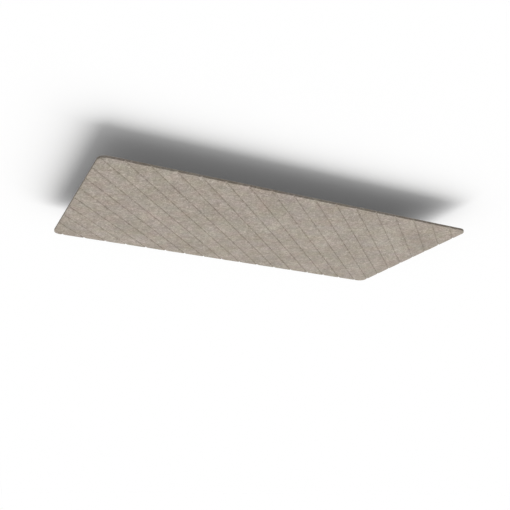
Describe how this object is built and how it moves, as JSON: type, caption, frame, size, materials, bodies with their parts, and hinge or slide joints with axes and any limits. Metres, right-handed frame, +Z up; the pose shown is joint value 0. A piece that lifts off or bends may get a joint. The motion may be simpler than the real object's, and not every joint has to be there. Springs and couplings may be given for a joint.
{
  "type": "suspended ceiling tile",
  "caption": "Flat rectangular felt panel with rounded corners and diagonal V-grooves, hung face down below a ceiling by threaded sockets on its back to soften sound.",
  "frame": {"origin": "centre of the grooved underside, on the plane that shows to the room", "axes": "+X along the tile's length, +Y across its width, +Z up to the ceiling that it hangs from"},
  "size_m": [1.2, 0.6, 0.0175],
  "materials": {
    "felt": "pressed melange felt, matt",
    "zinc_plated_steel": "zinc plated"
  },
  "bodies": {
    "root": {"felt_tile": "felt", "hanger_sockets": "zinc_plated_steel"}
  },
  "joints": []
}
